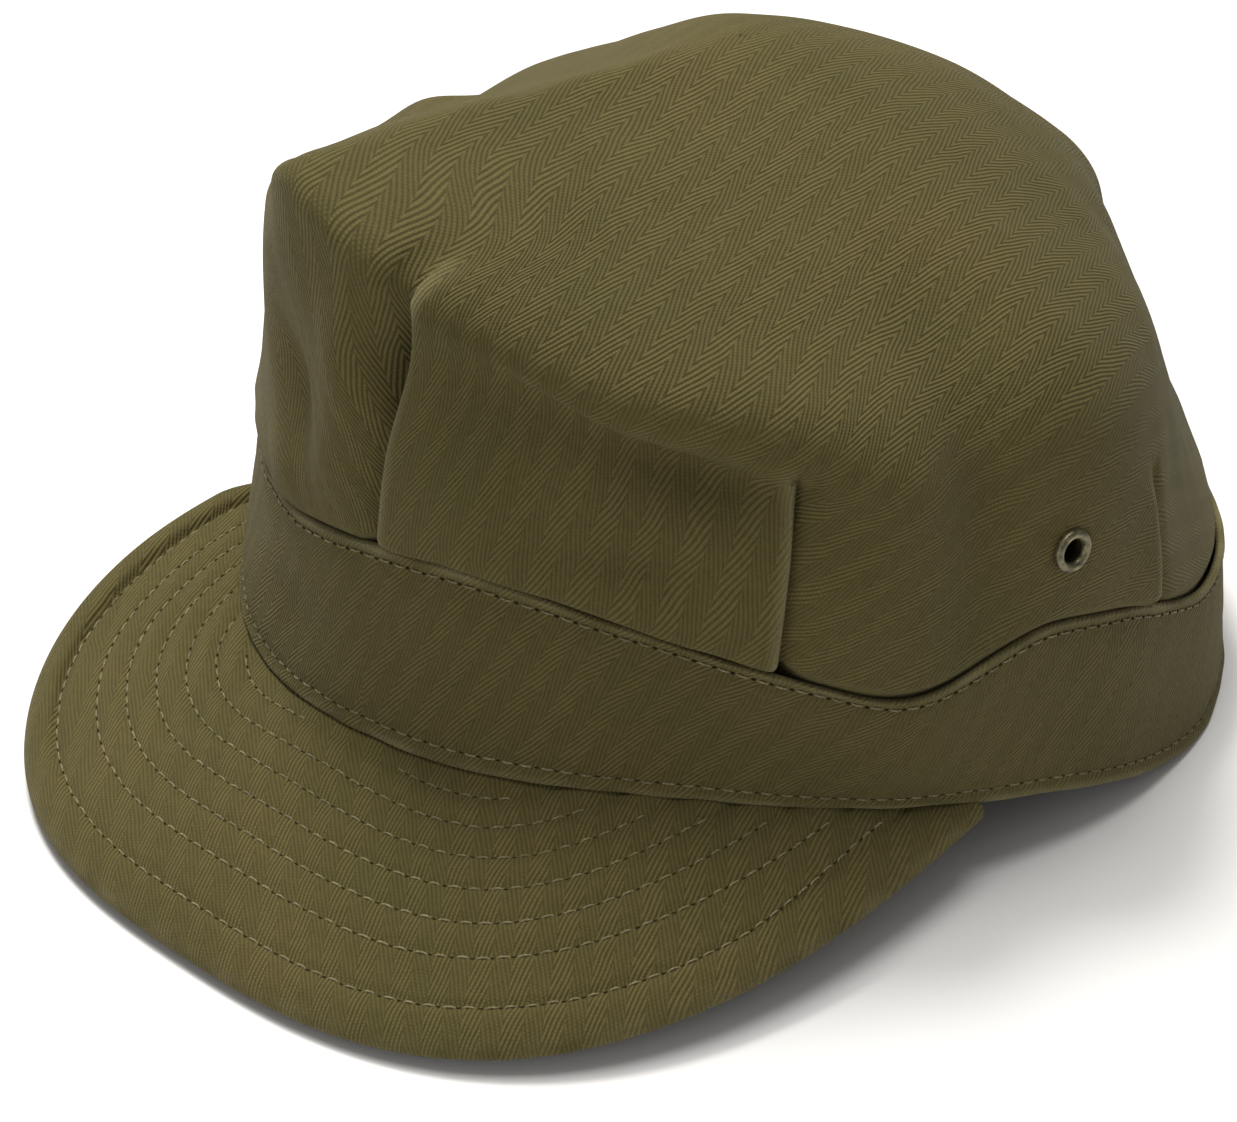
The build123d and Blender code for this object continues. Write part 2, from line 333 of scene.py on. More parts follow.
# ---- dents and folds ----
def dents(points, table):
    """Sum of soft dents (negative) and bulges over points in mm. Each row gives the middle,
    the depth, the reach along the wall's level direction and across it, and a tilt."""
    total = np.zeros(points.shape[:-1])
    for middle, depth, along, across, tilt in table:
        gap = points - np.array(middle, float)
        out = unit(np.array([middle[0], middle[1], 0.0]))
        level = np.array([-out[1], out[0], 0.0])
        up = np.array([0.0, 0.0, 1.0])
        c, s = math.cos(math.radians(tilt)), math.sin(math.radians(tilt))
        first = gap @ (level * c + up * s)
        rest = np.sqrt(np.maximum((gap**2).sum(-1) - first**2, 0))
        total += depth * bell(first, along) * bell(rest, across)
    return total


# Rows of dents(): middle in mm, depth, reach along, reach across, tilt in degrees
BAND_DENTS = (
    ((-22, -92, 36), -1.6, 9, 7, 0),
    ((-8, -93, 50), 0.9, 10, 8, 0),
    ((40, -84, 40), -1.2, 16, 8, 10),
    ((60, -70, 34), -1.0, 14, 9, -15),
)


# ---- crown ----
APEX = np.array([-1.0, 0.0])
RIDGE_TURN = math.radians(12)
NEAR_SLOPE = 0.40     # fall of the crown's top to the wearer's left of the ridge
FAR_SLOPE = 0.50      # and to the wearer's right
ROOF_SAG = 0.0012
RIDGE_DROP = 0.20
RIDGE_BEND = 0.0046
TUCK_IN = 1.8         # how far behind the headband's face the crown's edge is sewn
CROWN_HEM = 5.0       # how far the crown's cloth reaches down behind the headband

# Round the crown, by degrees from the front towards the wearer's left: how far the shoulder
# stands out from the headband, the belly low on the wall, and the shoulder's rounding.
SHOULDER = (
    (-168, -8), (-150, -16), (-130, -16), (-112, -10), (-98, -5), (-84, -3), (-49, -7), (-29, -3),
    (-12, 3.0), (5, 0), (25, 2.5), (49, -3.0), (70, -6), (84, -3), (98, -7), (111, -17), (130, -29),
    (150, -27), (160, -15), (168, -3), (180, -1),
)
BELLY = (
    (-165, 2), (-120, 1), (-98, 2), (-84, 2), (-49, 1.5), (-29, 1.0), (-12, 1.5), (5, 1.5),
    (25, 1.5), (49, 1), (70, 0.5), (84, 1.5), (98, 2.0), (112, 0.0), (150, 0), (168, 4),
)
ROUNDING = (
    (-165, 10), (-120, 18), (-84, 16), (-49, 12), (-29, 9), (-12, 3), (5, 7), (25, 9),
    (49, 10), (70, 12), (84, 14), (120, 10), (150, 8), (168, 8),
)

# Pleats: degrees from the front at the foot, height, overlap, which side covers, lean in mm
PLEATS = (
    (1.5, 66, 8.0, 1, 7.0),
    (45.5, 42, 6.5, -1, 4.0),
    (98.5, 31, 5.0, -1, 0.0),
    (141, 26, 5.0, -1, 0.0),
    (180, 24, 5.0, 1, 0.0),
    (-141, 26, 5.0, 1, 0.0),
    (-98.5, 31, 5.0, 1, 0.0),
    (-45.5, 36, 6.5, 1, -4.0),
)
# Rows of dents(): middle in mm, depth, reach along, reach across, tilt in degrees
CROWN_DENTS = (
    ((2, -91, 95), -3.2, 5, 10, 0),
    ((-23, -88, 80), -2.4, 5, 12, 25),
    ((-9, -92, 72), 2.0, 6, 8, 0),
    ((-24, -88, 64), 1.6, 7, 6, 0),
    ((30, -82, 91), -8.0, 18, 11, -16),
    ((51, -68, 81), -10.5, 17, 11, -16),
    ((46, -73, 65), -3.6, 19, 5, -10),
    ((64, -56, 72), -3.0, 12, 14, 0),
    ((20, -85, 66), 1.8, 12, 9, 0),
    ((50, -68, 58), 2.6, 13, 10, 0),
    ((78, -28, 78), -4.2, 7, 34, 0),
    ((84, -2, 70), 1.6, 10, 16, 0),
    ((-46, -32, 104), 3.5, 14, 9, 0),
    ((-45, -52, 99), -11.0, 12, 11, 0),
    ((-30, -76, 112), -2.5, 9, 9, 0),
    ((-6, -88, 92), 2.2, 5, 14, 0),
    ((-20, -88, 84), -2.0, 6, 14, 10),
)


def ridge(along):
    """Height of the ridge, level at the front and falling to the back."""
    start = along - 5.0
    run = (start + np.sqrt(start * start + 36.0)) / 2
    return CROWN_TOP - RIDGE_DROP * run - RIDGE_BEND * run * run


def roof(x, y):
    """Height of the crown's top: it falls to both sides of the ridge, which is a crease only
    at the front."""
    dx, dy = x - APEX[0], y - APEX[1]
    along = dx * math.sin(RIDGE_TURN) + dy * math.cos(RIDGE_TURN)
    across = dx * math.cos(RIDGE_TURN) - dy * math.sin(RIDGE_TURN)
    soft = 1.5 + 24 * smooth((along + 25) / 75)
    off = np.sqrt(across**2 + soft**2) - soft
    side = np.where(across > 0, NEAR_SLOPE + 0.13 * smooth((along - 5) / 45), FAR_SLOPE)
    return ridge(along) - side * off - ROOF_SAG * off**2


def crown_foot(t):
    """Where the crown's cloth leaves the headband's top edge."""
    return band_point(t, TUCK_IN + 0 * t, BAND_HEIGHT - 1.2 + 0 * t)


def crown_profile(foot):
    """Points from the middle of the ridge out to the foot, one column per foot point: the top,
    the rounded shoulder, the wall and the hem behind the headband."""
    gap = foot[:, :2] - APEX
    reach = np.hypot(*gap.T)
    way = gap / reach[:, None]
    degrees = np.degrees(np.arctan2(gap[:, 0], -gap[:, 1]))
    shoulder = periodic(degrees, SHOULDER)
    belly = periodic(degrees, BELLY)

    def roof_at(out):
        return roof(*(APEX + way * out[:, None]).T)

    corner = reach + TUCK_IN + shoulder
    corner_z = roof_at(corner)
    wall = corner_z - foot[:, 2]
    rounding = np.minimum(periodic(degrees, ROUNDING), wall * 0.6)
    start_out = corner - rounding
    start_z = roof_at(start_out)
    rows = [(start_out * s, roof_at(start_out * s)) for s in np.linspace(0, 1, 52)[:-1]]

    def wall_out(h):
        share = np.clip(h / wall, 0, 1)
        spring = smooth(h / 4.0)
        return reach + (TUCK_IN + belly) * spring + (shoulder - belly) * share

    end_h = wall - rounding * 0.9
    end_out = wall_out(end_h)
    for s in np.linspace(0, 1, 17)[:-1]:
        p = (1 - s) ** 2 * start_out + 2 * s * (1 - s) * corner + s * s * end_out
        z = (1 - s) ** 2 * start_z + 2 * s * (1 - s) * corner_z + s * s * (foot[:, 2] + end_h)
        rows.append((p, z))
    for s in np.linspace(0, 1, 46):
        h = end_h * (1 - s) - CROWN_HEM * s
        rows.append((wall_out(np.maximum(h, 0)) - 0.3 * (h < 0), foot[:, 2] + h))
    out, z = (np.array(part)[..., None] for part in zip(*rows))
    return np.concatenate([APEX + way * out, z], -1)


PATH_MIDDLE = 11      # row of fold_path() at which the weave changes from panel to panel
PATH_EDGE = -0.15     # distance out at the row of fold_path() that lies on the pleat's edge


def fold_path(overlap):
    """(along, out) round one pleat: under its own edge, back, and over."""
    tight = 0.55
    return np.array([
        (-5.5, 0.0), (-3.5, -0.4), (-2.0, -1.1), (-0.8, -1.8), (0.6, -2.2), (overlap * 0.35, -2.4),
        (overlap * 0.7, -2.4), (overlap - tight, -2.35), (overlap, -1.85), (overlap - tight, -1.4),
        (overlap * 0.7, -1.35), (overlap * 0.35, -1.3), (1.0, -1.15), (0.3, -0.75), (0.0, PATH_EDGE),
        (0.35, 0.35), (1.2, 0.55), (2.4, 0.6), (overlap * 0.6, 0.5), (overlap, 0.3), (overlap + 3, 0.1),
        (overlap + 5.5, 0.0),
    ])


def rib_places(step):
    """Places along the crown's foot, denser and folded at each pleat. A row of side holds how
    far its rib slides along, how far it lifts, its pleat's number, its distance from the
    pleat's edge and its row in fold_path()."""
    fine_t = np.linspace(-math.pi / 2, 1.5 * math.pi, 4001)
    run = lengths(crown_foot(fine_t))
    turns = foot_turns(fine_t)
    places = np.arange(int(run[-1] / step)) * run[-1] / int(run[-1] / step)
    side = np.zeros((len(places), 5))
    for k, (angle, _, overlap, cover, _) in enumerate(PLEATS):
        middle = np.interp(math.radians(angle) % (2 * math.pi), turns, run)
        path = fold_path(overlap)
        if cover < 0:
            path = path[::-1] * np.array([-1.0, 1.0])
        first, last = path[0, 0], path[-1, 0]
        edge = int(np.flatnonzero(path[:, 1] == PATH_EDGE)[0])
        before = np.linspace(first, 0, edge + 1)
        after = np.linspace(0, last, len(path) - edge)
        spread = np.concatenate([before, after[1:]])
        gap = (places - middle + run[-1] / 2) % run[-1] - run[-1] / 2
        clear = (gap < first - 0.4) | (gap > last + 0.4)
        places, side = places[clear], side[clear]
        mine = np.zeros((len(path), 5))
        mine[:, 0] = path[:, 0] - spread
        mine[:, 1] = path[:, 1]
        mine[:, 2] = k + 1
        mine[:, 3] = spread
        mine[:, 4] = np.arange(len(path))
        places = np.concatenate([places, (middle + spread) % run[-1]])
        side = np.concatenate([side, mine])
    order = np.argsort(places)
    return places[order], side[order], run, fine_t


def fold_share(up, tall):
    """How far a pleat is folded at a height over the crown's foot."""
    return 1 - smooth((up - 0.66 * tall) / (0.34 * tall))


def foot_turns(fine_t):
    """Angles about the apex of points along the crown's foot, from the front by the left."""
    foot = crown_foot(fine_t)
    return np.unwrap(np.arctan2(foot[:, 0] - APEX[0], -(foot[:, 1] - APEX[1])))


def crown_cloth_map(flat_r, up, places, side, run, turns):
    """Cloth coordinates in mm: each panel between two pleats turns about its own middle as the
    wall narrows towards the band, so the weave jumps from panel to panel inside the folds."""
    total = run[-1]
    middles = np.array([np.interp(math.radians(a) % (2 * math.pi), turns, run) for a, *_ in PLEATS])
    order = np.argsort(middles)
    middles = middles[order]
    wide = np.append(np.diff(middles), middles[0] + total - middles[-1])
    centres = middles + wide / 2
    panel = (np.searchsorted(middles, places, side="right") - 1) % len(middles)
    for k, pleat in enumerate(order):
        mine = np.flatnonzero(side[:, 2] == pleat + 1)
        panel[mine] = np.where(side[mine, 4] >= PATH_MIDDLE, k, (k - 1) % len(middles))
    centre = centres[panel]
    tall = np.array([PLEATS[int(k) - 1][1] if k else 1.0 for k in side[:, 2]])
    folded = fold_share(up, tall[None])
    along = places[None] + folded * side[None, :, 0] * (side[None, :, 2] > 0)
    gap = (along - centre[None] + total / 2) % total - total / 2
    middle_turn = np.interp(centre % total, run, turns)
    here = np.interp((centre[None] + gap) % total, run, turns)
    gap_turn = (here - middle_turn[None] + math.pi) % (2 * math.pi) - math.pi
    narrow = 1 - 0.30 * smooth((44.0 - up) / 44.0)
    turn = middle_turn[None] + gap_turn * narrow
    return np.stack([flat_r * np.sin(turn), -flat_r * np.cos(turn)], -1)


HOLE_RADIUS = 2.9     # faces this near an eyelet's middle are left out of the crown
HOLE_DEPTH = 12.0


def make_crown():
    """The crown's cloth, and where its two eyelets sit."""
    places, side, run, fine_t = rib_places(1.45)
    points = crown_profile(crown_foot(np.interp(places, run, fine_t)))
    flat_r = lengths(points.transpose(1, 0, 2)).T
    up = flat_r[-1:] - CROWN_HEM - flat_r
    outward = normals_of(points, True)
    shape = dents(points, CROWN_DENTS)
    calm = smooth(up / 12.0)
    shape += calm * (0.55 * ripple(points, 42, 21) + 0.22 * ripple(points, 17, 22))
    points = points + outward * (shape * smooth(up / 9.0))[..., None]
    level = unit(np.roll(points, -1, 1) - np.roll(points, 1, 1))
    moved = points.copy()
    total = run[-1]
    wear = np.zeros(points.shape[:2])
    for k, (_, tall, _, _, lean) in enumerate(PLEATS):
        mine = side[:, 2] == k + 1
        folded = fold_share(up, tall)
        slide = folded * side[None, :, 0] * mine[None]
        lifted = np.sqrt(folded) * side[None, :, 1] * mine[None]
        moved += level * slide[..., None] + outward * lifted[..., None]
        middle = places[mine][0] - side[mine][0, 3]
        gap = (places - middle + total / 2) % total - total / 2
        drift = lean * bell(gap, 16.0)[None] * smooth(up / tall) * (1 - smooth((up - tall) / 25))
        moved += level * drift[..., None]
        edge = bell(gap + side[:, 0] * mine, 1.2) * (side[:, 1] > -0.2) * mine
        wear = np.maximum(wear, folded * edge[None])
    cloth = crown_cloth_map(flat_r, up, places, side, run, foot_turns(fine_t))
    cloth = np.concatenate([cloth, cloth[:, :1]], axis=1)
    faces_mid = (moved[:-1] + moved[1:]) / 2
    keep = np.ones(faces_mid.shape[:2], bool)
    seats = {}
    for name, sign in (("left", 1), ("right", -1)):
        seat, normal = eyelet_seat(moved, outward, sign)
        seats[name] = (seat, normal)
        gap = faces_mid - seat
        axial = (gap @ normal)[..., None] * normal
        away = np.linalg.norm(gap - axial, axis=-1) > HOLE_RADIUS
        keep &= away | (np.abs(gap @ normal) > HOLE_DEPTH)
    piece = cloth_piece("crown_cloth", moved, cloth, True, wear, 0.75, keep.ravel())
    return piece, seats


SEAT_AHEAD = 5.0      # the worn crown carries its eyelets further ahead and higher
SEAT_LIFT = 2.5


def eyelet_seat(points, outward, sign):
    """Point and outward direction of the crown's wall where an eyelet sits."""
    ahead = np.abs(points[..., 1] + EYELET_AHEAD + SEAT_AHEAD)
    near = ahead + np.abs(points[..., 2] - EYELET_HEIGHT - SEAT_LIFT)
    near = near + 1000 * (points[..., 0] * sign < 40)
    spot = np.unravel_index(np.argmin(near), near.shape)
    rows = slice(spot[0] - 3, spot[0] + 4)
    cols = slice(spot[1] - 3, spot[1] + 4)
    normal = unit(outward[rows, cols].reshape(-1, 3).mean(0))
    return points[spot], normal


# ---- eyelets ----
EYELET_SEGMENTS = 48
ROLL_POINTS = 14


def lathe(name, profile, seat, normal):
    """Turned ring about the seat's normal, from (radius, height) pairs."""
    side = unit(np.cross([0.0, 0.0, 1.0], normal))
    up = np.cross(normal, side)
    turn = np.linspace(0, 2 * math.pi, EYELET_SEGMENTS, endpoint=False)
    ring = np.cos(turn)[:, None] * side + np.sin(turn)[:, None] * up
    points = seat + np.stack([r * ring + h * normal for r, h in profile])
    faces = grid_faces(len(profile) + 1, EYELET_SEGMENTS, True)
    faces = faces % (len(profile) * EYELET_SEGMENTS)
    return make_object(name, place(points.reshape(-1, 3)), faces)


def eyelet_profile():
    """Rolled flange that turns down into a barrel."""
    turn = np.linspace(-0.9, 2.8, ROLL_POINTS)
    roll = [(3.0 + 0.80 * math.cos(a), 0.35 + 0.75 * math.sin(a)) for a in turn]
    barrel = [(2.1, 0.2), (2.05, -0.6), (2.0, -5.0), (2.25, -5.0), (2.35, -0.6), (2.5, -0.4)]
    return roll + barrel


# ---- visor ----
RIM_ROUND = 1.6           # radius of the visor's turned rim
HEM_DEPTH = 3.4           # middle of the full hem between the rim and its stitch row
EDGE_ROW = 6.0
QUILT_INSETS = tuple(13.1 + 5.3 * k for k in range(6))


def hinge_point(u, inset):
    """Line where the visor meets the headband; u runs from -1 to 1 towards the wearer's left."""
    corner = math.acos(VISOR_CORNER / (BAND_HALF_LENGTH - inset))
    t = u * corner
    x = (BAND_HALF_WIDTH - inset) * np.sin(t) * (1 - BAND_EGG * np.cos(t))
    y = -(BAND_HALF_LENGTH - inset) * np.cos(t)
    return np.stack([x, y, lift(y) + 0.35], -1)


def cut_rim(u):
    """Rim of the flat visor."""
    t = u * math.pi / 2
    across = np.copysign(np.abs(np.sin(t)) ** VISOR_CURVE, t)
    out = np.maximum(np.cos(t), 0) ** VISOR_CURVE
    y = -VISOR_CORNER - (VISOR_TIP - VISOR_CORNER) * out
    corner_height = lift(np.array(-VISOR_CORNER)) - 0.2
    z = VISOR_RIM_HEIGHT * out + corner_height * (1 - out)
    return np.stack([VISOR_HALF_WIDTH * across, y, z], -1)


def rim_inward(u):
    """Level direction from the rim into the visor."""
    step = 0.004
    along = cut_rim(np.minimum(u + step, 1.0)) - cut_rim(np.maximum(u - step, -1.0))
    return unit(np.stack([-along[..., 1], along[..., 0], 0 * u], -1))


def rim_point(u):
    """Rim of the worn visor: a little inside the cut one, and raised on the wearer's right."""
    point = cut_rim(u) + (0.7 - 2.2 * bell(u + 0.66, 0.22))[..., None] * rim_inward(u)
    point[..., 2] += 0.8 + 5.6 * bell(u + 0.84, 0.26) * smooth((1 + u) / 0.08)
    return point


def visor_point(u, w):
    """Upper face before stitching: w is 0 under the band and 1 at the rim."""
    near = hinge_point(u, 4.5)
    far = rim_point(u)
    corner = math.degrees(math.acos(VISOR_CORNER / (BAND_HALF_LENGTH - 4.5)))
    hang = periodic(u * corner, EDGE_LOW)
    reach = np.maximum(np.cos(u * math.pi / 2), 0) ** VISOR_CURVE
    rise = VISOR_CAMBER * 4 * w * (1 - w) * np.cos(u * math.pi / 2) + hang * (1 - w * reach)
    point = near + (far - near) * w[..., None]
    point[..., 2] += rise
    return point


def rim_distance(points):
    """Level distance of points from the rim."""
    rim = rim_point(np.linspace(-1, 1, 1401))[:, :2]
    flat = points[..., :2].reshape(-1, 2)
    gaps = [np.hypot(*(flat[k:k + 3000, None] - rim[None]).transpose(2, 0, 1)).min(1)
            for k in range(0, len(flat), 3000)]
    return np.concatenate(gaps).reshape(points.shape[:-1])


def edge_row(u):
    """Distance of the edge stitch row from the rim: it wanders in near the wearer's left."""
    return EDGE_ROW + 2.6 * smooth((u - 0.72) / 0.25)


def visor_skin(u, w):
    """Upper face with its stitched-in rows, the puffs between them and the full hem."""
    point = visor_point(u, w)
    d = rim_distance(point)
    first, last = QUILT_INSETS[0], QUILT_INSETS[-1]
    step = QUILT_INSETS[1] - first
    inside = smooth((d - first) / 1.5) * (1 - smooth((d - last) / 1.5))
    out = inside * 0.32 * np.sin(math.pi * (d - first) / step) ** 2
    out -= 0.28 * sum(bell(d - row, 0.55) for row in QUILT_INSETS)
    right = smooth((-u - 0.25) / 0.35)
    out -= (0.5 + 1.1 * right) * bell(d - edge_row(u), 0.8 + 0.2 * right)
    out += 0.45 * bell(d - HEM_DEPTH, 1.9)
    out += smooth(d / 5) * (0.22 * ripple(point, 36, 41) + 0.07 * ripple(point, 9, 42))
    point[..., 2] += out
    return point


def visor_columns(count):
    """Places along the visor, closer together towards its two corners."""
    s = np.linspace(-1, 1, count)
    return (s + np.sin(s * math.pi / 2)) / 2 * 0.998


def visor_sheet(name, upper, thickness):
    """Top or bottom cloth, turned round the rim as far as the seam between them."""
    u = visor_columns(330)
    near, far = visor_point(u, 0 * u), visor_point(u, 0 * u + 1)
    length = np.linalg.norm((far - near)[:, :2], axis=-1)
    slant = np.abs((unit((near - far) * [1, 1, 0]) * rim_inward(u)).sum(-1))
    edge = RIM_ROUND / np.maximum(length * slant, RIM_ROUND * 1.6)
    rows = [(s * (1 - edge), 0 * u) for s in np.linspace(0, 1, 96)[:-1]]
    stop = math.radians(115 if upper else 65)
    for a in np.linspace(0, stop, 9):
        rows.append((1 - edge * (1 - math.sin(a)), -RIM_ROUND * (1 - math.cos(a)) + 0 * u))
    w, drop = (np.array(part) for part in zip(*rows))
    uu = np.broadcast_to(u, w.shape)
    if upper:
        points = visor_skin(uu, w)
    else:
        points = visor_point(uu, w)
        points[..., 2] -= 2 * RIM_ROUND
        d = rim_distance(points)
        points[..., 2] -= 0.15 * smooth(d / 6) * (1 + ripple(points, 30, 43))
        drop = -drop
    points[..., 2] += drop
    run = lengths(points.transpose(1, 0, 2)).T
    across = unit((far - near)[:, :2])
    cloth = near[None, :, :2] + across[None] * run[..., None]
    d = rim_distance(points)
    wear = bell(d, 0.9) * (0.5 + 0.5 * ripple(points, 10, 44)) * 0.35
    order = slice(None) if upper else slice(None, None, -1)
    return cloth_piece(name, points[order], cloth[order], False, np.clip(wear, 0, 1)[order], thickness)


def visor_filling(name, outer, inner, down, thickness):
    """Hidden ply between the visor's two cloths, from outer to inner mm inside the rim; no
    inner edge means that it reaches under the band."""
    u = visor_columns(90) * 0.82
    near, far = visor_point(u, 0 * u), visor_point(u, 0 * u + 1)
    across = unit((near - far) * [1, 1, 0])
    reach = np.linalg.norm((far - near)[:, :2], axis=-1) * np.abs((across * rim_inward(u)).sum(-1))
    stop = 1 - outer / reach
    start = 0.04 + 0 * u if inner is None else 1 - inner / reach
    start = np.clip(start, 0.04, stop - 0.04)
    w = start + (stop - start) * np.linspace(0, 1, 16)[:, None]
    points = visor_point(np.broadcast_to(u, w.shape), w)
    points[..., 2] -= down
    return cloth_piece(name, points, points[..., :2], False, None, thickness)


def visor_line(inset_of):
    """Path of a stitch row on the visor's upper face, with its upward directions. The steps of
    the loop close in on the places that lie inset_of(u) mm inside the rim."""
    u = np.linspace(-0.97, 0.97, 700)
    inset = inset_of(u)
    goal = rim_point(u)[:, :2] + rim_inward(u)[:, :2] * inset[:, None]
    turn = goal[:, 1] / BAND_HALF_LENGTH
    clear = BAND_HALF_WIDTH * (1 + BAND_EGG * turn) * np.sqrt(np.maximum(1 - turn * turn, 0))
    free = np.abs(goal[:, 0]) > clear - 1.5
    goal = goal[free]
    uu = u[free]
    w = 0 * uu + 0.7
    for _ in range(14):
        here = visor_point(uu, w)[:, :2]
        by_u = (visor_point(uu + 1e-4, w)[:, :2] - here) / 1e-4
        by_w = (visor_point(uu, w + 1e-4)[:, :2] - here) / 1e-4
        miss = goal - here
        area = by_u[:, 0] * by_w[:, 1] - by_u[:, 1] * by_w[:, 0]
        area = np.where(np.abs(area) < 1, 1, area)
        step_u = (miss[:, 0] * by_w[:, 1] - miss[:, 1] * by_w[:, 0]) / area
        step_w = (by_u[:, 0] * miss[:, 1] - by_u[:, 1] * miss[:, 0]) / area
        uu = np.clip(uu + np.clip(step_u, -0.1, 0.1), -0.99, 0.99)
        w = np.clip(w + np.clip(step_w, -0.2, 0.2), 0.02, 0.99)
    path = visor_skin(uu, w)
    up = unit(np.cross(np.gradient(path, axis=0), rim_inward(uu) * [1, 1, 0]))
    up *= np.sign(up[:, 2:3])
    return path, unit(up + np.array([0.0, 0.0, 0.6]))


# ---- stitches ----
def stitches(name, lines, seed):
    """Rows of short threads that dip into a needle hole at both ends, and for each face which
    of the two materials it has."""
    rng = np.random.default_rng(seed)
    stations = np.linspace(0, 1, 6)
    turn = np.linspace(0, 2 * math.pi, 6, endpoint=False)
    vertices, faces, dark = [], [], []
    count = 0
    for path, up in lines:
        run = lengths(path)
        number = int(run[-1] / STITCH)
        starts = np.arange(number) * run[-1] / number
        starts = starts + rng.uniform(-0.16, 0.16, number)
        sizes = STITCH * rng.uniform(0.76, 0.90, number)
        at = starts[:, None] + 0.32 + sizes[:, None] * stations
        at = np.clip(at, 0, run[-1])

        def along(values, where=at):
            return np.stack([np.interp(where, run, values[:, k]) for k in range(3)], -1)

        middle = along(path)
        out = unit(along(up))
        ahead = unit(np.gradient(middle, axis=1))
        sideways = np.cross(ahead, out)
        hump = np.sin(math.pi * stations) ** 0.6
        middle = middle + out * (-NEEDLE_DIP + (NEEDLE_DIP + 0.14) * hump)[None, :, None]
        middle = middle + sideways * rng.uniform(-0.10, 0.10, number)[:, None, None]
        size = THREAD / 2 * (0.62 + 0.42 * hump)
        ring = np.cos(turn)[:, None, None, None] * sideways[None]
        ring = ring + np.sin(turn)[:, None, None, None] * out[None]
        tube = middle[None] + ring * size[None, None, :, None]
        tube = tube.transpose(1, 2, 0, 3)
        vertices.append(tube.reshape(-1, 3))
        block = grid_faces(len(stations), len(turn), True)
        each = len(stations) * len(turn)
        for k in range(number):
            faces.extend((block + count + k * each).tolist())
        count += number * each
        # Dark discs over each stitch's needle hole: painted shade of the holes, given the second material.
        spots = along(path, starts)
        outs = unit(along(up, starts))
        heads = unit(along(np.gradient(path, axis=0), starts))
        across = np.cross(heads, outs)
        loop = np.cos(turn)[:, None, None] * heads * 0.46 + np.sin(turn)[:, None, None] * across * 0.30
        disc = spots[None] + loop + outs[None] * 0.045
        vertices.append(disc.transpose(1, 0, 2).reshape(-1, 3))
        for k in range(number):
            dark.append([count + k * len(turn) + j for j in range(len(turn))])
        count += number * len(turn)
    piece = make_object(name, place(np.concatenate(vertices)), faces + dark)
    marks = np.zeros(len(faces) + len(dark), np.int32)
    marks[len(faces):] = 1
    return piece, marks


# ---- materials ----
class Nodes:
    """Short way to build a material's node tree."""

    def __init__(self, name):
        self.material = bpy.data.materials.new(name)
        self.material.use_nodes = True
        self.tree = self.material.node_tree
        self.shader = self.tree.nodes["Principled BSDF"]

    def add(self, kind, **settings):
        node = self.tree.nodes.new(kind)
        for key, value in settings.items():
            setattr(node, key, value)
        return node

    def wire(self, source, target):
        self.tree.links.new(source, target)

    def feed(self, socket, value):
        if isinstance(value, bpy.types.NodeSocket):
            self.wire(value, socket)
        else:
            socket.default_value = value

    def math(self, operation, a, b=0.0, c=0.0, clamp=False):
        node = self.add("ShaderNodeMath", operation=operation, use_clamp=clamp)
        for socket, value in zip(node.inputs, (a, b, c)):
            self.feed(socket, value)
        return node.outputs[0]

    def wave(self, turns):
        """Sine from 0 to 1 that repeats with every whole turn."""
        sine = self.math("SINE", self.math("MULTIPLY", turns, 2 * math.pi))
        return self.math("MULTIPLY_ADD", sine, 0.5, 0.5)

    def noise(self, vector, scale, detail=2.0, rough=0.5):
        node = self.add("ShaderNodeTexNoise")
        self.wire(vector, node.inputs["Vector"])
        node.inputs["Scale"].default_value = scale
        node.inputs["Detail"].default_value = detail
        node.inputs["Roughness"].default_value = rough
        return node.outputs["Fac"]

    def ramp(self, factor, stops):
        node = self.add("ShaderNodeValToRGB")
        elements = node.color_ramp.elements
        while len(elements) < len(stops):
            elements.new(0.5)
        for element, (position, colour) in zip(elements, stops):
            element.position = position
            element.color = (*colour, 1.0)
        self.wire(factor, node.inputs["Fac"])
        return node.outputs["Color"]

    def mix(self, factor, a, b, blend="MIX"):
        node = self.add("ShaderNodeMix", data_type="RGBA", blend_type=blend)
        self.feed(node.inputs[0], factor)
        self.feed(node.inputs[6], a)
        self.feed(node.inputs[7], b)
        return node.outputs[2]

    def bump(self, height, distance, strength=1.0):
        node = self.add("ShaderNodeBump")
        node.inputs["Strength"].default_value = strength
        node.inputs["Distance"].default_value = distance
        self.wire(height, node.inputs["Height"])
        self.wire(node.outputs["Normal"], self.shader.inputs["Normal"])


COLUMN = 3.15         # width of one herringbone column, mm
TWILL_PITCH = 0.72    # width of one diagonal rib
BEAD_PITCH = 0.62     # length of one yarn crossing along a rib
TWILL_ANGLE = math.radians(16)
OLIVE = (0.083, 0.068, 0.0205)
OLIVE_LIGHT = (0.150, 0.125, 0.044)
OLIVE_DARK = (0.022, 0.017, 0.0055)
OLIVE_WORN = (0.235, 0.205, 0.105, 1.0)


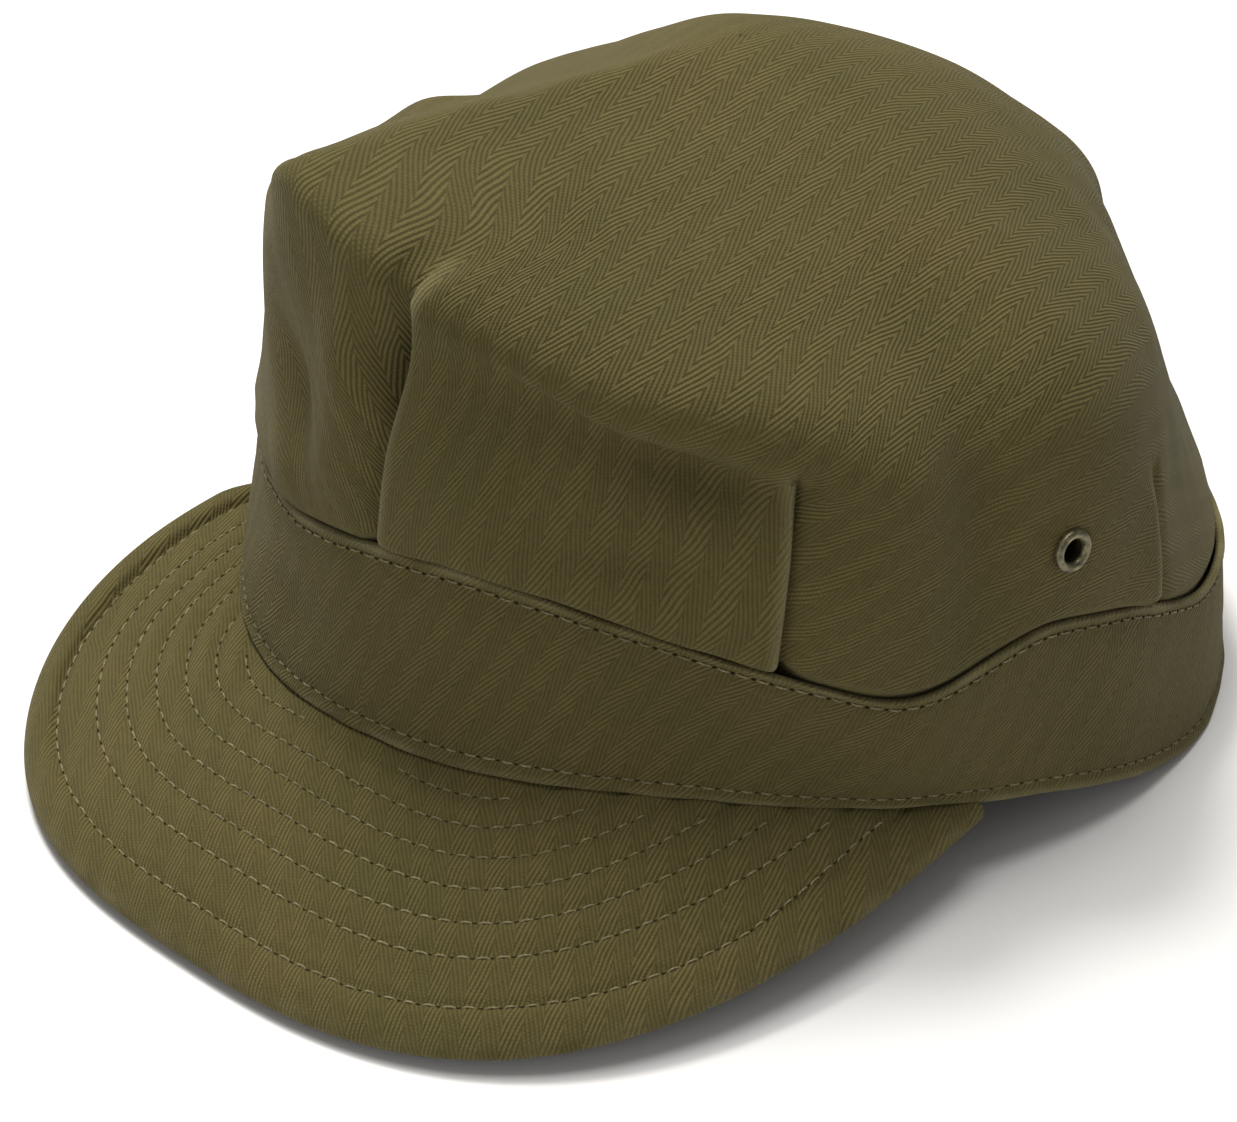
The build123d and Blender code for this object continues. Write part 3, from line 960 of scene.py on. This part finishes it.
def herringbone(name, axis_degrees):
    """Herringbone twill: columns of diagonal ribs that turn back at each column's edge."""
    n = Nodes(name)
    uv = n.add("ShaderNodeUVMap", uv_map="cloth").outputs["UV"]
    wander = n.add("ShaderNodeTexNoise", noise_dimensions="3D")
    wander.inputs["Scale"].default_value = 0.05
    n.wire(uv, wander.inputs["Vector"])
    shift = n.add("ShaderNodeVectorMath", operation="MULTIPLY_ADD")
    n.wire(wander.outputs["Color"], shift.inputs[0])
    shift.inputs[1].default_value = (2.4, 2.4, 0.0)
    n.wire(uv, shift.inputs[2])
    turn = n.add("ShaderNodeVectorRotate", rotation_type="Z_AXIS")
    turn.inputs["Angle"].default_value = math.radians(axis_degrees)
    n.wire(shift.outputs[0], turn.inputs["Vector"])
    split = n.add("ShaderNodeSeparateXYZ")
    n.wire(turn.outputs[0], split.inputs[0])
    x, y = split.outputs[0], split.outputs[1]
    folded = n.math("PINGPONG", x, COLUMN)
    column = n.math("FLOOR", n.math("DIVIDE", x, COLUMN))
    lines = n.math("MULTIPLY", folded, math.cos(TWILL_ANGLE) / TWILL_PITCH)
    lines = n.math("MULTIPLY_ADD", y, math.sin(TWILL_ANGLE) / TWILL_PITCH, lines)
    lines = n.math("MULTIPLY_ADD", column, 0.5, lines)
    rib = n.math("POWER", n.wave(lines), 0.75)
    yarn = n.math("MULTIPLY", folded, -math.sin(TWILL_ANGLE) / BEAD_PITCH)
    yarn = n.math("MULTIPLY_ADD", y, math.cos(TWILL_ANGLE) / BEAD_PITCH, yarn)
    yarn = n.math("MULTIPLY_ADD", n.math("FLOOR", lines), 0.5, yarn)
    fibre = n.noise(uv, 2.6, 3.0, 0.65)
    slub = n.noise(uv, 0.55, 2.0, 0.6)
    height = n.math("MULTIPLY", rib, n.math("MULTIPLY_ADD", n.wave(yarn), 0.35, 0.65))
    height = n.math("MULTIPLY_ADD", fibre, 0.60, height)
    parity = n.math("PINGPONG", column, 1.0)
    depth = n.math("MULTIPLY_ADD", parity, 0.28, 0.32)
    level = n.math("SUBTRACT", height, 0.55)
    shade = n.math("MULTIPLY_ADD", level, depth, 0.42)
    shade = n.math("MULTIPLY_ADD", slub, 0.26, shade)
    shade = n.math("MULTIPLY_ADD", fibre, 0.24, shade)
    shade = n.math("SUBTRACT", shade, 0.25, clamp=True)
    colour = n.ramp(shade, ((0.0, OLIVE_DARK), (0.45, OLIVE), (1.0, OLIVE_LIGHT)))
    patches = n.noise(uv, 0.028, 3.0, 0.55)
    tone = n.ramp(patches, ((0.3, (0.90, 0.93, 0.86)), (0.7, (1.08, 1.04, 1.05))))
    colour = n.mix(1.0, colour, tone, "MULTIPLY")
    worn = n.add("ShaderNodeAttribute", attribute_name="wear").outputs["Fac"]
    worn = n.math("MULTIPLY", worn, n.math("MULTIPLY_ADD", fibre, 0.9, 0.15), clamp=True)
    colour = n.mix(worn, colour, OLIVE_WORN)
    n.wire(colour, n.shader.inputs["Base Color"])
    rough = n.math("MULTIPLY_ADD", fibre, 0.12, 0.80)
    n.wire(rough, n.shader.inputs["Roughness"])
    n.shader.inputs["Specular IOR Level"].default_value = 0.22
    n.shader.inputs["Sheen Weight"].default_value = 0.06
    n.shader.inputs["Sheen Roughness"].default_value = 0.45
    n.shader.inputs["Sheen Tint"].default_value = (0.9, 0.85, 0.65, 1.0)
    n.bump(height, 0.00020, 0.9)
    return n.material


def plain_weave(name, light, dark, pitch):
    """Plain cotton: over-and-under yarns."""
    n = Nodes(name)
    uv = n.add("ShaderNodeUVMap", uv_map="cloth").outputs["UV"]
    split = n.add("ShaderNodeSeparateXYZ")
    n.wire(uv, split.inputs[0])
    turns = 2 * math.pi / pitch
    across = n.math("SINE", n.math("MULTIPLY", split.outputs[0], turns))
    along = n.math("SINE", n.math("MULTIPLY", split.outputs[1], turns))
    weave = n.math("MULTIPLY_ADD", n.math("MULTIPLY", across, along), 0.35, 0.5)
    fibre = n.noise(uv, 3.0, 3.0, 0.6)
    height = n.math("MULTIPLY_ADD", fibre, 0.4, weave)
    colour = n.ramp(n.math("MULTIPLY", height, 0.8), ((0.15, dark), (0.85, light)))
    patches = n.noise(uv, 0.05, 2.0)
    tone = n.ramp(patches, ((0.3, (0.92, 0.92, 0.92)), (0.7, (1.05, 1.05, 1.05))))
    n.wire(n.mix(1.0, colour, tone, "MULTIPLY"), n.shader.inputs["Base Color"])
    n.shader.inputs["Roughness"].default_value = 0.9
    n.shader.inputs["Specular IOR Level"].default_value = 0.2
    n.shader.inputs["Sheen Weight"].default_value = 0.15
    n.bump(height, 0.00015, 0.8)
    return n.material


def thread_material():
    n = Nodes("olive_thread")
    where = n.add("ShaderNodeTexCoord").outputs["Object"]
    fine = n.noise(where, 2600.0, 2.0)
    broad = n.noise(where, 60.0, 2.0)
    colour = n.ramp(fine, ((0.3, (0.12, 0.104, 0.048)), (0.7, (0.27, 0.24, 0.135))))
    tone = n.ramp(broad, ((0.35, (0.72, 0.74, 0.70)), (0.65, (1.1, 1.06, 1.0))))
    n.wire(n.mix(1.0, colour, tone, "MULTIPLY"), n.shader.inputs["Base Color"])
    n.shader.inputs["Roughness"].default_value = 0.65
    n.shader.inputs["Specular IOR Level"].default_value = 0.35
    n.bump(fine, 0.0001, 0.7)
    return n.material


# Near-black material: painted shade for needle holes and the insides of the eyelet barrels.
def painted_hole_shade_material():
    n = Nodes("painted_needle_hole_shade")
    where = n.add("ShaderNodeTexCoord").outputs["Object"]
    colour = n.ramp(n.noise(where, 900.0), ((0.3, (0.012, 0.010, 0.004)), (0.7, (0.03, 0.025, 0.012))))
    n.wire(colour, n.shader.inputs["Base Color"])
    n.shader.inputs["Roughness"].default_value = 1.0
    n.shader.inputs["Specular IOR Level"].default_value = 0.05
    return n.material


def eyelet_material():
    """Olive paint on brass, rubbed through on the raised ring."""
    n = Nodes("painted_brass")
    where = n.add("ShaderNodeTexCoord").outputs["Object"]
    worn = n.noise(where, 700.0, 4.0, 0.6)
    paint_olive, rubbed, bare = (0.070, 0.066, 0.040), (0.20, 0.175, 0.095), (0.34, 0.29, 0.17)
    colour = n.ramp(worn, ((0.42, paint_olive), (0.58, rubbed), (0.8, bare)))
    n.wire(colour, n.shader.inputs["Base Color"])
    n.wire(n.math("MULTIPLY_ADD", worn, 0.35, 0.18), n.shader.inputs["Roughness"])
    n.wire(n.math("MULTIPLY_ADD", worn, 0.9, 0.1, clamp=True), n.shader.inputs["Metallic"])
    n.bump(worn, 0.00008, 0.5)
    return n.material


def paint(piece, *materials):
    piece.data.materials.clear()
    for material in materials:
        piece.data.materials.append(material)


# ---- scene ----
FLOOR_HALF = 3.0      # metres


def floor():
    n = Nodes("pale_board")
    where = n.add("ShaderNodeTexCoord").outputs["Object"]
    tone = n.ramp(n.noise(where, 6.0, 3.0), ((0.3, (0.86, 0.85, 0.84)), (0.7, (0.90, 0.89, 0.885))))
    n.wire(tone, n.shader.inputs["Base Color"])
    n.shader.inputs["Roughness"].default_value = 0.75
    n.shader.inputs["Specular IOR Level"].default_value = 0.2
    corners = FLOOR_HALF * np.array([(-1, -1, 0), (1, -1, 0), (1, 1, 0), (-1, 1, 0)], float)
    board = make_object("floor", corners, [[0, 1, 2, 3]])
    paint(board, n.material)


def area_light(name, at, aim, size, power, colour):
    data = bpy.data.lights.new(name, "AREA")
    data.shape = "DISK"
    data.size = size
    data.energy = power
    data.color = colour
    light = bpy.data.objects.new(name, data)
    light.location = at
    light.rotation_mode = "QUATERNION"
    light.rotation_quaternion = (Vector(aim) - Vector(at)).to_track_quat("-Z", "Y")
    bpy.context.scene.collection.objects.link(light)


def lights():
    world = bpy.data.worlds.new("studio")
    world.use_nodes = True
    background = world.node_tree.nodes["Background"]
    background.inputs[0].default_value = (1.0, 0.99, 0.96, 1.0)
    background.inputs[1].default_value = 0.25
    bpy.context.scene.world = world
    middle = (0.0, 0.0, 0.05)
    area_light("key", (-0.45, 0.12, 1.12), middle, 0.40, 11.5, (1.0, 0.98, 0.94))
    area_light("overhead", (-0.1, 0.05, 1.5), middle, 1.0, 13.0, (1.0, 0.99, 0.97))
    area_light("fill", (0.1, -1.1, 0.35), middle, 0.7, 2.0, (0.95, 0.97, 1.0))


CAMERA_AZIMUTH = 40.01
CAMERA_ELEVATION = 33.34
CAMERA_ROLL = 1.98
CAMERA_DISTANCE = 550.96
CAMERA_AIM = (12.37, -43.13, 40.0)
SENSOR = 36.0         # width of the film in real mm, as is the lens
LENS = 93.12854


def camera():
    """Camera in front of the cap, towards the wearer's left, looking down."""
    data = bpy.data.cameras.new("camera")
    data.sensor_width = SENSOR
    data.lens = LENS
    data.clip_start = 0.01
    data.clip_end = 20.0
    a, e, r = (math.radians(v) for v in (CAMERA_AZIMUTH, CAMERA_ELEVATION, CAMERA_ROLL))
    back = Vector((math.sin(a) * math.cos(e), -math.cos(a) * math.cos(e), math.sin(e)))
    level = Vector((math.cos(a), math.sin(a), 0.0))
    over = back.cross(level)
    right = level * math.cos(r) + over * math.sin(r)
    up = back.cross(right)
    viewer = bpy.data.objects.new("camera", data)
    turn = Matrix((right, up, back)).transposed()
    at = Vector(place(CAMERA_AIM)) + back * CAMERA_DISTANCE * MM
    viewer.matrix_world = Matrix.Translation(at) @ turn.to_4x4()
    bpy.context.scene.collection.objects.link(viewer)
    bpy.context.scene.camera = viewer


def finish_piece(piece, slot, *nodes):
    """Tells the frame what a piece rides on, and hides the CAD nodes it stands for; slot is not used."""
    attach(piece, "root")
    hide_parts(*nodes)


def sew(name, lines, seed, node, thread, painted_hole_shade):
    piece, marks = stitches(name, lines, seed)
    # The needle-hole discs take the painted hole shade.
    paint(piece, thread, painted_hole_shade)
    piece.data.polygons.foreach_set("material_index", marks)
    finish_piece(piece, "thread", node)


def sew_rows(band_lines, thread, painted_hole_shade):
    """Every stitch row: the visor's quilting from the band outwards, its edge, and the headband."""
    for row, inset in enumerate(reversed(QUILT_INSETS), 1):
        line = visor_line(lambda u, inset=inset: inset + 0 * u)
        sew(f"visor_quilting_{row}", [line], 59 + row, f"visor_quilting_row_{row}", thread, painted_hole_shade)
    sew("visor_edge_stitches", [visor_line(edge_row)], 70, "visor_edge_stitching", thread, painted_hole_shade)
    sew("headband_bottom_stitches", [band_lines[0]], 71, "headband_bottom_stitching", thread, painted_hole_shade)
    sew("headband_top_stitches", [band_lines[1]], 72, "headband_top_stitching", thread, painted_hole_shade)


def set_eyelets(seats, brass, painted_hole_shade):
    """The two eyelets: painted brass rolls, with painted shade on their barrels."""
    # The barrel faces take the painted hole shade, near-black where the open barrel lies in shadow.
    barrel = np.arange(len(eyelet_profile())) >= ROLL_POINTS
    marks = np.repeat(barrel.astype(np.int32), EYELET_SEGMENTS)
    for name in ("left", "right"):
        ring = lathe(f"eyelet_ring_{name}", eyelet_profile(), *seats[name])
        paint(ring, brass, painted_hole_shade)
        ring.data.polygons.foreach_set("material_index", marks)
        finish_piece(ring, "eyelet", f"eyelet_{name}", f"eyelet_washer_{name}")


LABEL_HALF = 0.215    # half of the label's reach round the headband, in oval parameter


def main():
    camera()
    lights()
    floor()
    bpy.context.scene.view_settings.view_transform = "Standard"

    twill_crown = herringbone("twill_crown", -8.0)
    twill_band = herringbone("twill_band", 32.0)
    twill_visor = herringbone("twill_visor", -32.3)
    cotton = plain_weave("lining_cotton", (0.135, 0.125, 0.070), (0.040, 0.036, 0.018), 0.62)
    buckram = plain_weave("buckram", (0.36, 0.33, 0.24), (0.12, 0.11, 0.07), 1.0)
    tape = plain_weave("label_tape", (0.50, 0.48, 0.40), (0.22, 0.21, 0.17), 0.45)
    thread, painted_hole_shade, brass = thread_material(), painted_hole_shade_material(), eyelet_material()

    crown, seats = make_crown()
    band, band_lines = make_headband()
    label_part = (math.pi / 2 - LABEL_HALF, math.pi / 2 + LABEL_HALF)
    pieces = {
        "interlining": make_ply("headband_interlining_ply", 3.2, 1.4, BAND_HEIGHT - 3.4, 0.6),
        "lining": make_ply("headband_lining_ply", 3.95, 1.0, BAND_HEIGHT - 3.0, 0.6),
        "sweatband": make_ply("sweatband_ply", 4.7, 0.8, BAND_HEIGHT - 2.6, 0.75),
        "label": make_ply("size_label_patch", 5.7, 7.5, 24.5, 0.35, label_part),
        "top": visor_sheet("visor_top_sheet", True, 0.7),
        "bottom": visor_sheet("visor_bottom_sheet", False, 0.7),
        "stiffener": visor_filling("visor_stiffener_sheet", 10.5, None, 1.5, 0.8),
        "allowance": visor_filling("visor_seam_allowance_sheet", 2.2, 9.5, 1.8, 0.5),
    }
    looks = (
        (crown, "twill", twill_crown, "crown"),
        (band, "twill", twill_band, "headband_outer"),
        (pieces["interlining"], "canvas", buckram, "headband_interlining"),
        (pieces["lining"], "lining", cotton, "headband_lining"),
        (pieces["sweatband"], "lining", cotton, "sweatband"),
        (pieces["label"], "label", tape, "size_label"),
        (pieces["top"], "twill", twill_visor, "visor_top_cloth"),
        (pieces["bottom"], "twill", twill_visor, "visor_bottom_cloth"),
        (pieces["stiffener"], "canvas", buckram, "visor_stiffener"),
        (pieces["allowance"], "twill", twill_visor, "visor_seam_allowance"),
    )
    for piece, slot, material, node in looks:
        paint(piece, material)
        finish_piece(piece, slot, node)

    sew_rows(band_lines, thread, painted_hole_shade)
    set_eyelets(seats, brass, painted_hole_shade)


main()
